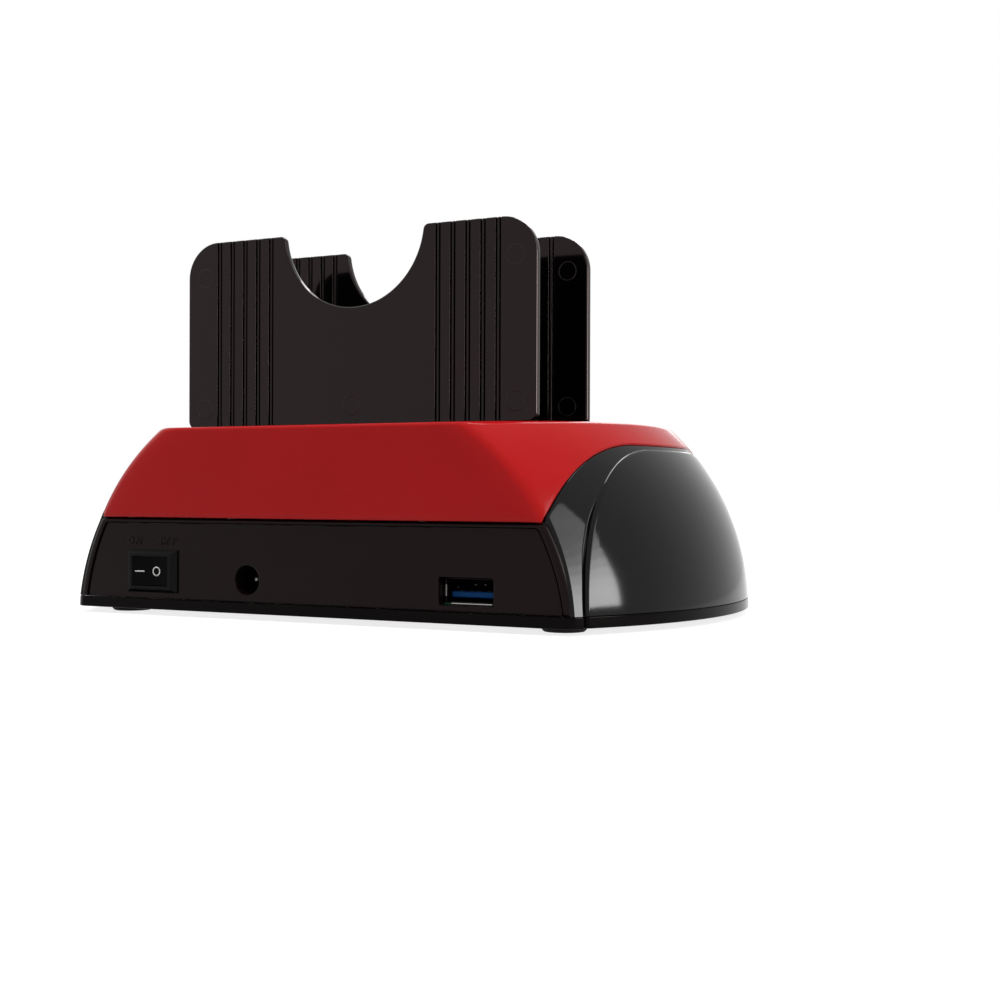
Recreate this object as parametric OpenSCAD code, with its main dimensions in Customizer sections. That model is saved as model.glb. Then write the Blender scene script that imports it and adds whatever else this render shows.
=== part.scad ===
// Two-bay hard drive docking station.
// The frame: X runs along the wide side, the ports face +Y, Z is up.
// The origin is on the table under the middle of the base. All sizes are in millimetres.

/* [Base body] */
// Width of the base at mid depth, over the bulging ends
body_w = 170; // [166:1:178]
// Depth of the base over the tray rim
body_depth = 110.2; // [104:0.2:114]
// Radius of each end seen from above, at the foot of the body
end_plan_r = 91.5; // [88:0.5:96]
// Radius of each end seen from the rear
end_side_r = 63.6; // [62:0.2:66]
// Height of the deck at mid depth
deck_z = 47.1; // [46:0.1:49]
// Drop of the deck from mid depth to the rear and front faces
deck_sag = 1.2; // [0.4:0.1:1.8]
// Radius along the edge between the deck and the ends
deck_edge_r = 2.5; // [1.5:0.1:3]
// Height of the seam between the panels and the top cover
parting_z = 23.9; // [23:0.1:25]
// Wall thickness of the top cover
cover_wall = 2.2; // [1.8:0.1:2.6]
// Gap at the seams between neighbouring covers
seam = 0.2; // [0.1:0.05:0.3]

/* [Base tray] */
// Height of the rubber feet under the tray
foot_h = 1.5; // [1.2:0.1:2.5]
// Radius of a rubber foot
foot_r = 5; // [4:0.5:6]
// Distance of the feet from the middle along X
foot_x = 61; // [56:1:63]
// Distance of the feet from the middle along Y
foot_y = 43; // [38:1:45]
// Height of the tray rim
rim_h = 2.6; // [2.4:0.1:3]
// Thickness of the tray floor
floor_t = 1.6; // [1.5:0.1:1.8]

/* [End caps] */
// Radius of the arch along the upper edge of an end cap
arch_r = 46; // [45:0.5:47]
// Half length of the level part of that arch
arch_flat = 18; // [17:0.5:19]
// Height of the top of that arch
arch_top = 41.5; // [41:0.1:42]
// Radius of the arch along the edge of the raised crown
crown_arch_r = 37.2; // [36.6:0.1:38]
// Half length of the level part of the crown edge
crown_flat = 13.2; // [12.6:0.1:13.6]
// Height of the top of the crown
crown_top = 40.6; // [40.2:0.1:40.9]
// Width of the groove round the crown
crown_gap = 1.1; // [1:0.1:1.4]
// Depth of the groove round the crown
crown_cut = 1; // [0.6:0.1:1.2]
// Wall thickness of an end cap
cap_wall = 2; // [1.6:0.1:2.4]

/* [Rear and front panels] */
// Thickness of a panel around the ports
panel_t = 2.4; // [2:0.1:2.8]
// Width of the raised border around a panel
border_w = 2.8; // [2:0.1:3.5]
// Height of that border above the middle of the panel
border_rise = 0.4; // [0.2:0.1:0.6]

/* [Drives and plates] */
// Width of a drive
drive_w = 101.6; // [101:0.1:102]
// Thickness of a drive
drive_t = 26.1; // [25.8:0.1:26.4]
// Gap between a drive and the walls of its bay
drive_gap = 0.3; // [0.2:0.05:0.4]
// Width of a support plate
plate_w = 100; // [96:1:101]
// Thickness of a support plate
plate_t = 2.2; // [2:0.1:2.4]
// Height of the top of the support plates
plate_top = 94.2; // [88:0.1:98]
// Radius of the top corners of a support plate
plate_corner_r = 9; // [6:0.5:12]
// Radius of the finger notch in a support plate
notch_r = 20; // [16:0.5:22]
// Distance from the rear face of the tray to the rear support plate
plate_inset = 20.6; // [19.6:0.1:21.6]
// Number of grooves on each side of a support plate
groove_n = 5; // [3:1:5]
// Spacing of the grooves
groove_pitch = 4; // [3.5:0.1:4]
// Width of a groove
groove_w = 1.4; // [1:0.1:1.8]
// Depth of a groove
groove_d = 0.8; // [0.4:0.1:1]
// Width of a tab under a support plate
tab_w = 14; // [12:1:16]
// Length of a tab below the deck
tab_l = 9; // [7:0.5:11]

/* [Ports and switch] */
// Place of the data port along X
usb_x = -42.2; // [-44:0.1:-40]
// Height of the middle of the data port
usb_z = 8.7; // [8.5:0.1:9]
// Place of the power inlet along X
dc_x = 16.7; // [15:0.1:18]
// Height of the middle of the power inlet
dc_z = 9.4; // [9.3:0.1:9.6]
// Radius of the bore in the power inlet
dc_bore_r = 3.1; // [2.9:0.05:3.15]
// Radius of the pin in the power inlet
dc_pin_r = 1.05; // [0.8:0.05:1.25]
// Place of the rocker switch along X
switch_x = 45; // [44:0.1:45.5]
// Height of the middle of the rocker switch
switch_z = 10.8; // [10.6:0.1:11]
// Width of the bezel of the rocker switch
bezel_w = 15.4; // [15:0.1:16]
// Height of the bezel of the rocker switch
bezel_h = 10.4; // [10.2:0.1:10.8]
// Tilt of the rocker away from its middle position
rocker_tilt = 9; // [7:0.5:10]

/* [Front controls] */
// Width of the backup button
button_w = 12; // [10:0.5:14]
// Height of the backup button
button_h = 6; // [5:0.5:7]
// Height of the middle of the button and lamps
button_z = 12.6; // [12:0.1:13.2]
// Travel of the backup button
button_travel = 0.8; // [0.5:0.1:1]
// Distance of the first lamp from the button
lamp_x = 18; // [15:0.5:20]
// Spacing of the lamps
lamp_pitch = 8; // [6:0.5:9]

/* [Hidden] */
$fn = 96;
half_w = body_w / 2;
half_y = body_depth / 2;
// The ends are tori about an upright axis on the far side of the middle.
end_axis = end_plan_r - half_w;
end_c = end_plan_r - end_side_r;
end_z = foot_h - 1;
deck_r = (half_y * half_y + deck_sag * deck_sag) / (2 * deck_sag);
deck_steps = 36;
rim_top = foot_h + rim_h;
floor_top = foot_h + floor_t;
cover_y = half_y - 0.4;
panel_y = half_y - 0.8;
panel_flat_y = panel_y - border_rise;
panel_back = panel_flat_y - panel_t;
panel_edge = 1.2;
deck_under = deck_z - deck_sag - cover_wall;
cap_lip = 1.2;
lip_gap = 0.2;

// Bays, from the rear plate forwards
slot_w = drive_w + 2 * drive_gap;
slot_d = drive_t + 2 * drive_gap;
bay_pitch = slot_d + plate_t;
rear_plate_y = half_y - plate_inset;
front_plate_y = rear_plate_y - bay_pitch;
rear_slot_y = rear_plate_y - plate_t;
front_slot_y = front_plate_y - plate_t;
frame_side = 2;
frame_rear = 3.2;
frame_front = 2.5;
frame_x = slot_w / 2 + frame_side;
frame_y1 = rear_slot_y + frame_rear;
frame_y0 = front_slot_y - slot_d - frame_front;
frame_top = deck_z - 0.6;
frame_corner_r = 3;
plate_z = frame_top + 0.1;
tab_z = frame_top - tab_l;
tab_gap = 0.15;
tab_x = 35;
notch_z = plate_top + 1.3;

// Board and what stands on it
usb_w = 13.1;
usb_h = 5.7;
board_top = usb_z - usb_h / 2;
board_t = 1.6;
board_z = board_top - board_t;
board_x = 50;
board_y1 = panel_back - 0.4;
board_y0 = frame_y0 - 6.2;
tongue_y0 = -panel_back + 4.4;
socket_top = 15.5;
bay_floor = socket_top - 0.2;
bay_floor_t = 2;
sata_x = -20.7;
sata_w = 42.6;
sata_d = 5.4;
sata_set = 3.8;

// Fasteners
boss_r = 3.5;
boss_split = 16;
rear_boss = [27, board_y1 - 5];
front_boss = [45, (frame_y0 - half_y) / 2 - 0.1];
ear_r = 3.2;
ear_x = 36;
ear_z = 36;
ear_t = 2.2;
ear_y1 = frame_y1 + ear_r + 0.3;
ear_y0 = frame_y0 - ear_r - 0.3;
board_hole = [[47, rear_slot_y - 12.3], [47, front_slot_y - 27.4]];

// Switch
switch_w = bezel_w - 2.4;
switch_h = bezel_h - 1.8;
switch_depth = 13.6;
switch_back = panel_flat_y - switch_depth;
bezel_front = panel_flat_y + 1.4;
well_w = 11;
well_h = 7.2;
pivot_y = panel_flat_y - 0.6;
pivot_r = 0.85;
rocker_r = well_w / 2 - 0.1;
rocker_face = 1.5;
terminal_x = 3.4;
terminal_end = switch_back - 6.5;
lead_r = 0.8;
lead_bend = 3;

// Power inlet
dc_w = 9;
dc_h = dc_z - board_top + 3.6;
dc_front = panel_back - 0.1;
dc_back = dc_front - 12;
dc_hole_r = 3.5;
dc_bore_l = 9.5;

// Data port
usb_front = panel_back - 0.2;
usb_l = 14;
usb_wall = 0.4;

// Front controls
button_front = -half_y - 0.6;
flange_y = -panel_back + 0.1;
plunger_r = 1.6;
plunger_y = -panel_back + 2.8;
tact_front = -panel_back + 3.8;
tact_back = tact_front + 3.6;
lamp_r = 1.5;

// Base shapes

// Solid of revolution whose outer face is one end of the body
module end_form(off, z0, z1) {
  rotate_extrude($fn = 180)
    intersection() {
      translate([end_c, end_z]) circle(r = end_side_r + off, $fn = 256);
      translate([0, z0]) square([150, z1 - z0]);
    }
}

// The same solid with a rounded edge along its top
module end_form_round(off, z0, z1, f) {
  r = end_side_r + off;
  fz = z1 - f;
  fx = end_c + sqrt(pow(r - f, 2) - pow(fz - end_z, 2));
  tx = end_c + (fx - end_c) * r / (r - f);
  tz = end_z + (fz - end_z) * r / (r - f);
  rotate_extrude($fn = 180)
    difference() {
      intersection() {
        translate([end_c, end_z]) circle(r = r, $fn = 256);
        translate([0, z0]) square([150, z1 - z0]);
      }
      difference() {
        polygon([[tx, tz], [fx, fz], [fx, z1 + 1], [tx + 9, z1 + 1], [tx + 9, tz]]);
        translate([fx, fz]) circle(r = f);
      }
    }
}

// Everything on the inner side of the +X end face
module end_half(off, z0, z1) {
  union() {
    translate([-end_axis, 0, 0]) end_form(off, z0, z1);
    translate([-120, -2 * half_y, z0]) cube([120, 4 * half_y, z1 - z0]);
  }
}

// Body between heights z0 and z1, cut off at y on both sides
module body_form(off, y, z0, z1) {
  intersection() {
    translate([-120, -y, z0]) cube([240, 2 * y, z1 - z0]);
    end_half(off, z0 - 1, z1 + 1);
    mirror([1, 0, 0]) end_half(off, z0 - 1, z1 + 1);
  }
}

// Everything on the inner side of the +X end of the cover
module cover_half(z0) {
  union() {
    translate([-end_axis, 0, 0]) end_form_round(0, z0, deck_z, deck_edge_r);
    translate([-120, -2 * half_y, z0]) cube([120, 4 * half_y, deck_z - z0]);
  }
}

// Body with a rounded top edge and a crowned deck
module cover_form(y, z0) {
  intersection() {
    translate([-120, -y, z0]) cube([240, 2 * y, deck_z - z0 + 5]);
    cover_half(z0 - 1);
    mirror([1, 0, 0]) cover_half(z0 - 1);
    translate([-120, 0, 0])
      rotate([90, 0, 90])
        linear_extrude(height = 240)
          polygon(concat([[half_y, -5], [-half_y, -5]], [for (i = [0 : deck_steps])
            let (y = half_y * (2 * i / deck_steps - 1))
            [y, deck_z - deck_r + sqrt(deck_r * deck_r - y * y)]]));
  }
}

// Outline of an arch seen from the end, run along X from x0 to x1
module arch_form(r, flat, top, grow, x0, x1) {
  translate([x0, 0, 0])
    rotate([90, 0, 90])
      linear_extrude(height = x1 - x0)
        union() {
          for (s = [-1, 1])
            translate([s * flat, top - r]) circle(r = r + grow, $fn = 180);
          translate([-flat, -60]) square([2 * flat, 60 + top + grow]);
          translate([-flat - r - grow, -60]) square([2 * (flat + r + grow), 60 + top - r]);
        }
}

// Flat rectangle with rounded corners
module round_rect(w, h, r) {
  union() {
    square([w - 2 * r, h], center = true);
    square([w, h - 2 * r], center = true);
    for (x = [-1, 1])
      for (y = [-1, 1])
        translate([x * (w / 2 - r), y * (h / 2 - r)]) circle(r = r);
  }
}

// Everything on the inner side of the +X end in plan
module plan_half(off) {
  union() {
    translate([-end_axis, 0]) circle(r = end_plan_r + off, $fn = 360);
    translate([-120, -2 * half_y]) square([120, 4 * half_y]);
  }
}

// Plan of the body, cut off at y on both sides
module plan_outline(off, y) {
  intersection() {
    square([240, 2 * y], center = true);
    plan_half(off);
    mirror([1, 0]) plan_half(off);
  }
}

// The four places of the case screws
module at_case_screws() {
  for (x = [-1, 1]) {
    translate([x * rear_boss[0], rear_boss[1], 0]) children();
    translate([x * front_boss[0], front_boss[1], 0]) children();
  }
}

// The four places of the board screws
module at_board_screws() {
  for (x = [-1, 1])
    for (p = board_hole)
      translate([x * p[0], p[1], 0]) children();
}

// The four places of the frame screws
module at_frame_screws() {
  for (x = [-1, 1])
    for (y = [ear_y0, ear_y1])
      translate([x * ear_x, y, 0]) children();
}

// Casing

module base_tray() {
  // The groove round each crown runs down over the rim
  rim_y = crown_flat + crown_arch_r;
  color([0.07, 0.07, 0.07])
    difference() {
      union() {
        difference() {
          translate([0, 0, foot_h])
            linear_extrude(height = rim_h)
              union() {
                plan_outline(-crown_cut, half_y);
                plan_outline(0, rim_y);
                difference() {
                  plan_outline(0, half_y);
                  square([240, 2 * (rim_y + crown_gap)], center = true);
                }
              }
          translate([0, 0, floor_top])
            linear_extrude(height = rim_h) plan_outline(-crown_cut - cap_wall, half_y - cap_wall);
        }
        at_case_screws()
          translate([0, 0, floor_top - 0.2]) cylinder(r = boss_r, h = boss_split - floor_top + 0.2);
        at_board_screws()
          translate([0, 0, floor_top - 0.2]) cylinder(r = 3, h = board_z - floor_top + 0.2);
      }
      at_case_screws() {
        translate([0, 0, -1]) cylinder(r = 2.8, h = boss_split - 3 + 1);
        cylinder(r = 1.7, h = 40);
      }
      at_board_screws()
        translate([0, 0, foot_h + 0.5]) cylinder(r = 0.9, h = 10);
      for (x = [-1, 1])
        for (y = [-1, 1])
          translate([x * foot_x, y * foot_y, foot_h - 1]) cylinder(r = foot_r + 0.1, h = 1.8);
    }
}

module rubber_feet() {
  color([0.1, 0.1, 0.1])
    for (x = [-1, 1])
      for (y = [-1, 1])
        translate([x * foot_x, y * foot_y, 0])
          union() {
            translate([0, 0, 0.5]) cylinder(r = foot_r, h = foot_h + 0.3);
            cylinder(r1 = foot_r - 0.5, r2 = foot_r, h = 0.5);
          }
}

// Panel under the top cover, without its openings
module panel_blank() {
  z1 = parting_z - seam / 2;
  difference() {
    union() {
      intersection() {
        body_form(0, panel_y, rim_top, z1);
        translate([-120, panel_y - panel_edge, 0]) cube([240, 5, 60]);
      }
      intersection() {
        body_form(-crown_cut - cap_wall - lip_gap - cap_lip, panel_y, rim_top, z1 - 0.5);
        translate([-120, panel_back, 0]) cube([240, panel_y - panel_edge - panel_back + 0.2, 60]);
      }
    }
    intersection() {
      body_form(-border_w, half_y, rim_top - 2, z1 - border_w);
      translate([-120, panel_flat_y, 0]) cube([240, 5, 60]);
    }
  }
}

module rear_panel() {
  color([0.13, 0.11, 0.105])
    difference() {
      panel_blank();
      translate([usb_x, half_y - 3, usb_z])
        cube([13.6, 12, 6], center = true);
      translate([dc_x, half_y + 3, dc_z])
        rotate([90, 0, 0]) cylinder(r = dc_hole_r, h = 12);
      translate([switch_x, half_y - 3, switch_z])
        cube([switch_w + 0.3, 12, switch_h + 0.3], center = true);
    }
}

module front_panel() {
  color([0.13, 0.11, 0.105])
    difference() {
      rotate([0, 0, 180]) panel_blank();
      translate([0, -half_y + 8, button_z])
        rotate([90, 0, 0])
          linear_extrude(height = 16) round_rect(button_w + 0.5, button_h + 0.5, 1.75);
      for (i = [0, 1])
        translate([-lamp_x - i * lamp_pitch, -half_y + 8, button_z])
          rotate([90, 0, 0]) cylinder(r = lamp_r + 0.1, h = 16);
    }
}

// Hanging boss with a blind hole in its lower end
module screw_boss(r, hole_r, h, hole_l) {
  difference() {
    cylinder(r = r, h = h);
    translate([0, 0, -1]) cylinder(r = hole_r, h = hole_l + 1);
  }
}

module top_cover() {
  z0 = parting_z + seam / 2;
  arch_x = half_w - 27;
  color([0.66, 0.06, 0.08])
    difference() {
      union() {
        difference() {
          cover_form(cover_y, z0);
          body_form(-cover_wall, cover_y - cover_wall, 0, deck_under);
        }
        at_case_screws()
          translate([0, 0, boss_split])
            screw_boss(boss_r, 1.25, deck_under - boss_split + 0.5, 14);
        at_frame_screws()
          translate([0, 0, ear_z + ear_t])
            screw_boss(ear_r, 1.05, deck_under - ear_z - ear_t + 0.5, 5);
      }
      for (s = [0, 1])
        mirror([s, 0, 0]) arch_form(arch_r, arch_flat, arch_top, seam, arch_x, 120);
      translate([0, (frame_y0 + frame_y1) / 2, deck_under - 1])
        linear_extrude(height = 20)
          round_rect(2 * frame_x + 0.4, frame_y1 - frame_y0 + 0.4, frame_corner_r + 0.2);
    }
}

// End cap on the +X side: a wall with a raised crown, and a lip under the top cover
module cap_blank() {
  wall_in = -crown_cut - cap_wall;
  lip_off = -cover_wall - lip_gap;
  wall_y = panel_y - panel_edge - seam;
  lip_y = panel_back - lip_gap;
  union() {
    difference() {
      intersection() {
        translate([-end_axis, 0, 0]) end_form(0, rim_top, 60);
        arch_form(arch_r, arch_flat, arch_top, 0, 30, 120);
        translate([30, -wall_y, rim_top]) cube([90, 2 * wall_y, 60]);
      }
      // Groove round the crown
      difference() {
        arch_form(crown_arch_r, crown_flat, crown_top, crown_gap, 30, 120);
        arch_form(crown_arch_r, crown_flat, crown_top, 0, 20, 130);
        translate([-end_axis, 0, 0]) end_form(-crown_cut, 0, 70);
      }
      translate([-end_axis, 0, 0]) end_form(wall_in, 0, 70);
    }
    difference() {
      intersection() {
        translate([-end_axis, 0, 0]) end_form(lip_off, rim_top, 60);
        arch_form(arch_r, arch_flat, arch_top, 1.6, 30, 120);
        translate([30, -lip_y, rim_top]) cube([90, 2 * lip_y, 60]);
      }
      translate([-end_axis, 0, 0]) end_form(lip_off - cap_lip, 0, 70);
    }
  }
}

module end_cap_right() {
  color([0.2, 0.195, 0.195]) cap_blank();
}

module end_cap_left() {
  color([0.2, 0.195, 0.195]) mirror([1, 0, 0]) cap_blank();
}

// Black insert that forms the two drive bays
module bay_frame() {
  zf = bay_floor - bay_floor_t;
  mid_y = (frame_y0 + frame_y1) / 2;
  color([0.09, 0.09, 0.09])
    difference() {
      union() {
        translate([0, mid_y, zf])
          linear_extrude(height = frame_top - zf)
            round_rect(2 * frame_x, frame_y1 - frame_y0, frame_corner_r);
        for (x = [-1, 1]) {
          translate([x * ear_x - ear_r, frame_y1 - 1, ear_z]) cube([2 * ear_r, ear_r + 1.3, ear_t]);
          translate([x * ear_x, ear_y1, ear_z]) cylinder(r = ear_r, h = ear_t);
          translate([x * ear_x - ear_r, frame_y0 - ear_r - 0.3, ear_z])
            cube([2 * ear_r, ear_r + 1.3, ear_t]);
          translate([x * ear_x, ear_y0, ear_z]) cylinder(r = ear_r, h = ear_t);
        }
      }
      for (y = [rear_slot_y, front_slot_y]) {
        translate([-slot_w / 2, y - slot_d, bay_floor]) cube([slot_w, slot_d, 60]);
        translate([sata_x - sata_w / 2 - 0.4, y - sata_set - sata_d / 2 - 0.4, zf - 1])
          cube([sata_w + 0.8, sata_d + 0.8, 10]);
      }
      for (x = [-tab_x, 0, tab_x])
        for (y = [rear_slot_y, front_slot_y])
          translate([x - tab_w / 2 - tab_gap, y - 0.1, tab_z])
            cube([tab_w + 2 * tab_gap, plate_t + 0.2, 30]);
      at_frame_screws() cylinder(r = 1.5, h = 60);
    }
}

// Support plate with its rear face at y = 0
module plate_blank() {
  f = 1.5;
  fx = sqrt(pow(notch_r + f - 0.02, 2) - pow(plate_top - f - notch_z, 2));
  fz = plate_top - f;
  qx = 0.8 * fx;
  qz = notch_z + 0.8 * (fz - notch_z);
  h = plate_top - plate_z;
  difference() {
    union() {
      rotate([90, 0, 0])
        linear_extrude(height = plate_t)
          difference() {
            union() {
              translate([0, plate_z + h / 2 - plate_corner_r / 2])
                round_rect(plate_w, h - plate_corner_r, 2);
              translate([0, plate_top - 1.5 * plate_corner_r])
                round_rect(plate_w, 3 * plate_corner_r, plate_corner_r);
            }
            translate([0, notch_z]) circle(r = notch_r);
            for (s = [0, 1])
              mirror([s, 0])
                difference() {
                  polygon([[qx, qz], [fx, fz], [fx, plate_top + 1], [qx, plate_top + 1]]);
                  translate([fx, fz]) circle(r = f);
                }
          }
      for (x = [-tab_x, 0, tab_x])
        translate([x - tab_w / 2, -plate_t, tab_z]) cube([tab_w, plate_t, plate_z - tab_z + 3]);
    }
    // Grooves down the rear face
    for (s = [-1, 1])
      for (i = [0 : groove_n - 1])
        translate([s * (24 + i * groove_pitch) - groove_w / 2, -groove_d, plate_z + 2])
          cube([groove_w, 5, 60]);
    // Shallow round moulding marks
    for (s = [-1, 1]) {
      translate([s * 44.5, 5, plate_top - plate_corner_r])
        rotate([90, 0, 0]) cylinder(r = 2.3, h = 5.12);
      translate([s * 44.5, 5, plate_z + 5])
        rotate([90, 0, 0]) cylinder(r = 2.3, h = 5.12);
    }
    translate([0, 5, plate_z + 5])
      rotate([90, 0, 0]) cylinder(r = 2.3, h = 5.12);
  }
}

module support_plate_rear() {
  color([0.17, 0.16, 0.155]) translate([0, rear_plate_y, 0]) plate_blank();
}

module support_plate_front() {
  color([0.17, 0.16, 0.155]) translate([0, front_plate_y, 0]) plate_blank();
}

// Board and sockets

module circuit_board() {
  color([0.05, 0.3, 0.13])
    difference() {
      union() {
        translate([-board_x, board_y0, board_z])
          cube([2 * board_x, board_y1 - board_y0, board_t]);
        translate([-lamp_x - 2 * lamp_pitch, tongue_y0, board_z])
          cube([lamp_x + 2 * lamp_pitch + 10, board_y0 - tongue_y0 + 1, board_t]);
      }
      at_case_screws() cylinder(r = boss_r + 0.5, h = 40);
      at_board_screws() cylinder(r = 1.3, h = 40);
    }
}

// Drive socket with a short data slot and a long power slot, for a bay that ends at y
module drive_socket(y) {
  translate([sata_x, y - sata_set, board_top])
    difference() {
      translate([-sata_w / 2, -sata_d / 2, 0]) cube([sata_w, sata_d, socket_top - board_top]);
      translate([-18.6, -1.2, 3]) cube([11.4, 2.4, 20]);
      translate([-8.8, -1.2, 3]) cube([1.6, 3.4, 20]);
      translate([-3.6, -1.2, 3]) cube([22.2, 2.4, 20]);
      translate([17, -1.2, 3]) cube([1.6, 3.4, 20]);
    }
}

module drive_socket_rear() {
  color([0.06, 0.06, 0.06]) drive_socket(rear_slot_y);
}

module drive_socket_front() {
  color([0.06, 0.06, 0.06]) drive_socket(front_slot_y);
}

// Spring contacts along one wall of the two slots of a drive socket
module socket_contacts(y) {
  h = socket_top - board_top - 4;
  translate([sata_x, y - sata_set - 1.2, board_top + 3]) {
    for (i = [0 : 6])
      translate([-17.4 + 1.27 * i, 0, 0]) cube([0.7, 0.4, h]);
    for (i = [0 : 14])
      translate([-2.8 + 1.27 * i, 0, 0]) cube([0.7, 0.4, h]);
  }
}

module socket_contacts_rear() {
  color([0.85, 0.68, 0.3]) socket_contacts(rear_slot_y);
}

module socket_contacts_front() {
  color([0.85, 0.68, 0.3]) socket_contacts(front_slot_y);
}

module usb_shell() {
  color([0.75, 0.75, 0.76])
    translate([usb_x, usb_front - usb_l, usb_z])
      difference() {
        translate([-usb_w / 2, 0, -usb_h / 2]) cube([usb_w, usb_l, usb_h]);
        translate([-usb_w / 2 + usb_wall, -1, -usb_h / 2 + usb_wall])
          cube([usb_w - 2 * usb_wall, usb_l + 2, usb_h - 2 * usb_wall]);
      }
}

module usb_insulator() {
  w = usb_w - 2 * usb_wall;
  h = usb_h - 2 * usb_wall;
  color([0.1, 0.32, 0.75])
    translate([usb_x, usb_front - usb_l, usb_z])
      union() {
        translate([-w / 2, 0, -h / 2]) cube([w, 4, h]);
        translate([-5.6, 3, -1.6]) cube([11.2, usb_l - 4.2, 1.8]);
      }
}

module usb_contacts() {
  color([0.85, 0.68, 0.3])
    translate([usb_x, usb_front - usb_l + 4, usb_z + 0.2])
      for (x = [-3.5, -1, 1, 3.5])
        translate([x - 0.5, 0, 0]) cube([1, usb_l - 6, 0.3]);
}

module dc_inlet_body() {
  color([0.06, 0.06, 0.06])
    difference() {
      translate([dc_x - dc_w / 2, dc_back, board_top]) cube([dc_w, dc_front - dc_back, dc_h]);
      translate([dc_x, dc_front + 1, dc_z])
        rotate([90, 0, 0]) cylinder(r = dc_bore_r, h = dc_bore_l + 1);
    }
}

module dc_inlet_pin() {
  color([0.8, 0.79, 0.76])
    translate([dc_x, dc_front - 1.4, dc_z])
      rotate([90, 0, 0]) cylinder(r = dc_pin_r, h = dc_bore_l - 1.4);
}

// Switch

module switch_body() {
  color([0.09, 0.09, 0.09])
    difference() {
      union() {
        translate([switch_x - switch_w / 2, switch_back, switch_z - switch_h / 2])
          cube([switch_w, switch_depth + 0.1, switch_h]);
        // Bezel with sloping sides
        hull() {
          translate([switch_x - bezel_w / 2, panel_flat_y, switch_z - bezel_h / 2])
            cube([bezel_w, 0.4, bezel_h]);
          translate([switch_x - well_w / 2 - 0.7, panel_flat_y, switch_z - well_h / 2 - 0.6])
            cube([well_w + 1.4, bezel_front - panel_flat_y, well_h + 1.2]);
        }
      }
      translate([switch_x - well_w / 2, panel_flat_y - 4.4, switch_z - well_h / 2])
        cube([well_w, 20, well_h]);
      translate([switch_x, pivot_y, switch_z - 4.1]) cylinder(r = pivot_r + 0.05, h = 8.2);
    }
}

// Rocker, shown with its OFF side pressed in
module switch_rocker() {
  e = 6;
  rise = e * tan(rocker_tilt);
  color([0.11, 0.11, 0.11])
    translate([switch_x, pivot_y, switch_z])
      rotate([0, 0, rocker_tilt])
        union() {
          translate([0, 0, -well_h / 2 + 0.15])
            linear_extrude(height = well_h - 0.3)
              intersection() {
                circle(r = rocker_r);
                polygon([[-e, -1.2], [e, -1.2], [e, rocker_face + rise],
                  [0, rocker_face], [-e, rocker_face + rise]]);
              }
          translate([0, 0, -4]) cylinder(r = pivot_r, h = 8);
        }
}

module switch_terminals() {
  color([0.8, 0.78, 0.72])
    for (s = [-1, 1])
      translate([switch_x + s * terminal_x - 0.4, terminal_end, switch_z - 1.6])
        cube([0.8, switch_back - terminal_end, 3.2]);
}

// Leads from the switch terminals down to the board
module switch_leads() {
  drop = switch_z - board_top - lead_bend;
  color([0.6, 0.07, 0.07])
    for (s = [-1, 1])
      translate([switch_x + s * terminal_x, terminal_end, 0])
        union() {
          translate([0, -1, switch_z]) rotate([-90, 0, 0]) cylinder(r = lead_r, h = 1);
          translate([0, -1, switch_z - lead_bend])
            rotate([90, 0, -90])
              rotate_extrude(angle = 90) translate([lead_bend, 0]) circle(r = lead_r);
          translate([0, -1 - lead_bend, board_top]) cylinder(r = lead_r, h = drop);
        }
}

// Front controls

module backup_button() {
  color([0.2, 0.2, 0.2])
    union() {
      translate([0, flange_y + 1, button_z])
        rotate([90, 0, 0])
          linear_extrude(height = flange_y + 1 - button_front) round_rect(button_w, button_h, 1.5);
      translate([0, flange_y + 1, button_z])
        rotate([90, 0, 0])
          linear_extrude(height = 1) round_rect(button_w + 2, button_h + 2, 2);
      translate([0, plunger_y, button_z])
        rotate([90, 0, 0]) cylinder(r = 1.5, h = plunger_y - flange_y - 0.5);
    }
}

module tact_plunger() {
  color([0.75, 0.74, 0.7])
    translate([0, tact_front + 1.2, button_z])
      rotate([90, 0, 0]) cylinder(r = plunger_r, h = tact_front + 1.2 - plunger_y);
}

module tact_switch() {
  color([0.1, 0.1, 0.1])
    difference() {
      translate([-3.2, tact_front, board_top])
        cube([6.4, tact_back - tact_front, button_z + 3 - board_top]);
      translate([0, tact_front + 1.6 + button_travel, button_z])
        rotate([90, 0, 0]) cylinder(r = plunger_r + 0.08, h = 5);
    }
}

module indicator_lamps() {
  color([0.7, 0.85, 0.75])
    for (i = [0, 1])
      translate([-lamp_x - i * lamp_pitch, -panel_flat_y, button_z])
        union() {
          sphere(r = lamp_r);
          rotate([-90, 0, 0]) cylinder(r = lamp_r, h = 5.5);
          translate([0, panel_t + 0.2, 0]) rotate([-90, 0, 0]) cylinder(r = 1.9, h = 1);
        }
}

module lamp_leads() {
  y0 = -panel_flat_y + 5.5;
  color([0.8, 0.79, 0.76])
    for (i = [0, 1])
      for (s = [-1, 1])
        translate([-lamp_x - i * lamp_pitch + s * 0.7 - 0.25, y0, 0])
          union() {
            translate([0, 0, button_z - 0.25]) cube([0.5, 2, 0.5]);
            translate([0, 1.5, board_top]) cube([0.5, 0.5, button_z - board_top + 0.25]);
          }
}

// Parts on the board

module bridge_chip() {
  color([0.07, 0.07, 0.07])
    translate([14, rear_slot_y - 24.3, board_top]) cube([10, 10, 1.4]);
}

module driver_chips() {
  color([0.07, 0.07, 0.07]) {
    translate([-8, rear_slot_y - 22.3, board_top]) cube([6, 5, 1.5]);
    translate([28, rear_slot_y + 1.7, board_top]) cube([6.5, 5, 1.8]);
    translate([18, front_slot_y - 25.4, board_top]) cube([6, 5, 1.5]);
  }
}

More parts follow.
